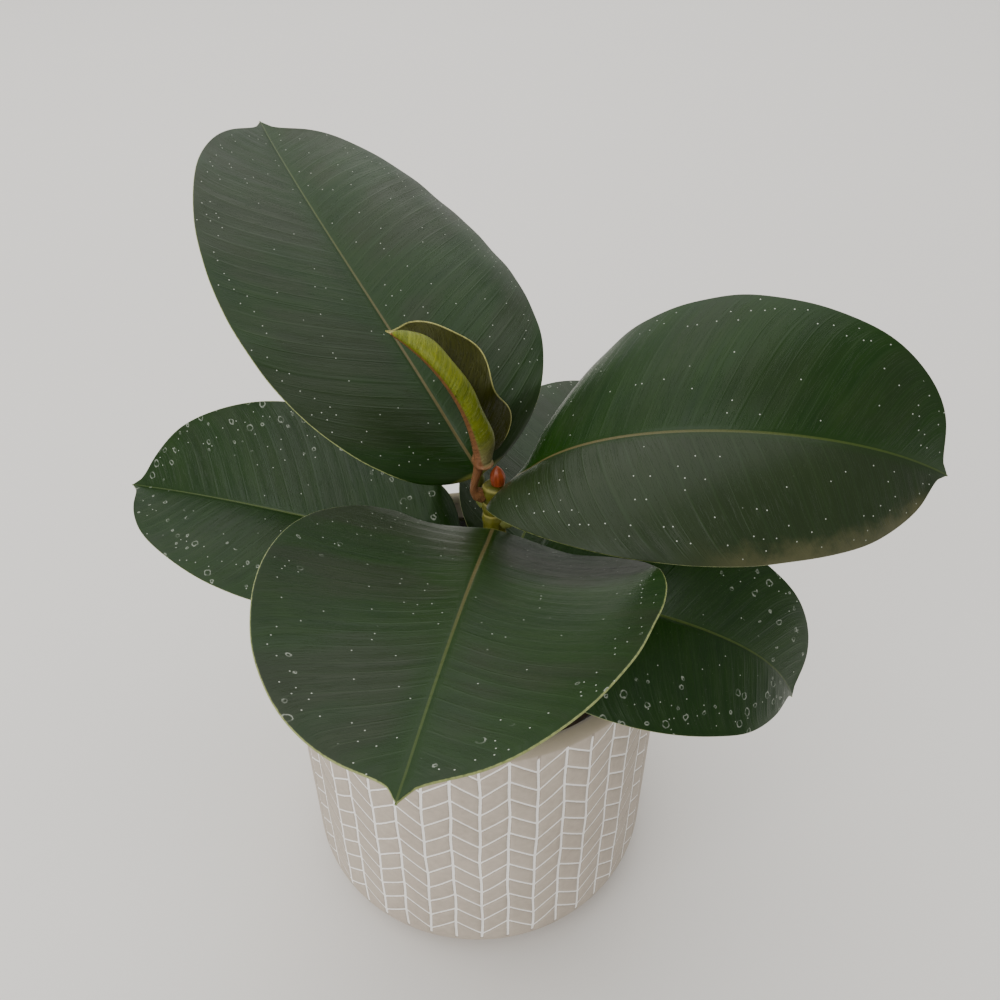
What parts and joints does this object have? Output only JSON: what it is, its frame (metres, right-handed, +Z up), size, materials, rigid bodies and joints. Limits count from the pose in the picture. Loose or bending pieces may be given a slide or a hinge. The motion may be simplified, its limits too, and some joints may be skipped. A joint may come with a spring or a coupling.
{
  "type": "potted rubber plant",
  "caption": "Young rubber plant with broad leathery leaves on one upright stem, in soil in a grow pot that stands inside a round ceramic cover pot.",
  "frame": {"origin": "centre of the cover pot's flat underside", "axes": "+Z up along the stem, -Y towards the front, where the lowest-hanging large leaf points, +X to the right seen from the front"},
  "size_m": [0.2707, 0.2838, 0.252],
  "materials": {
    "pot_ceramic": "matt warm grey stoneware, with a chalk-white herringbone of cut lines below a plain darker rim",
    "grow_pot_plastic": "black moulded plastic, lightly textured",
    "soil": "dark moist peat with crumbs and fibres",
    "stem_green": "smooth olive green bark with paler ring scars",
    "sheath_red": "thin waxy dark red bud sheath",
    "leaf_green": "leathery deep green leaf with a waxy gloss, fine side veins, a paler midrib and a thin cream margin",
    "young_leaf_green": "soft yellow green underside of a leaf that is still unrolling, with a red brown midrib"
  },
  "bodies": {
    "root": {"cover_pot": "pot_ceramic", "grow_pot": "grow_pot_plastic", "potting_soil": "soil", "stem": "stem_green", "bud_sheath": "sheath_red", "leaf_back_left": "leaf_green", "leaf_right": "leaf_green", "leaf_front": "leaf_green", "leaf_left": "leaf_green", "leaf_low_right": "leaf_green", "leaf_back": "leaf_green", "young_leaf": "young_leaf_green"}
  },
  "joints": []
}
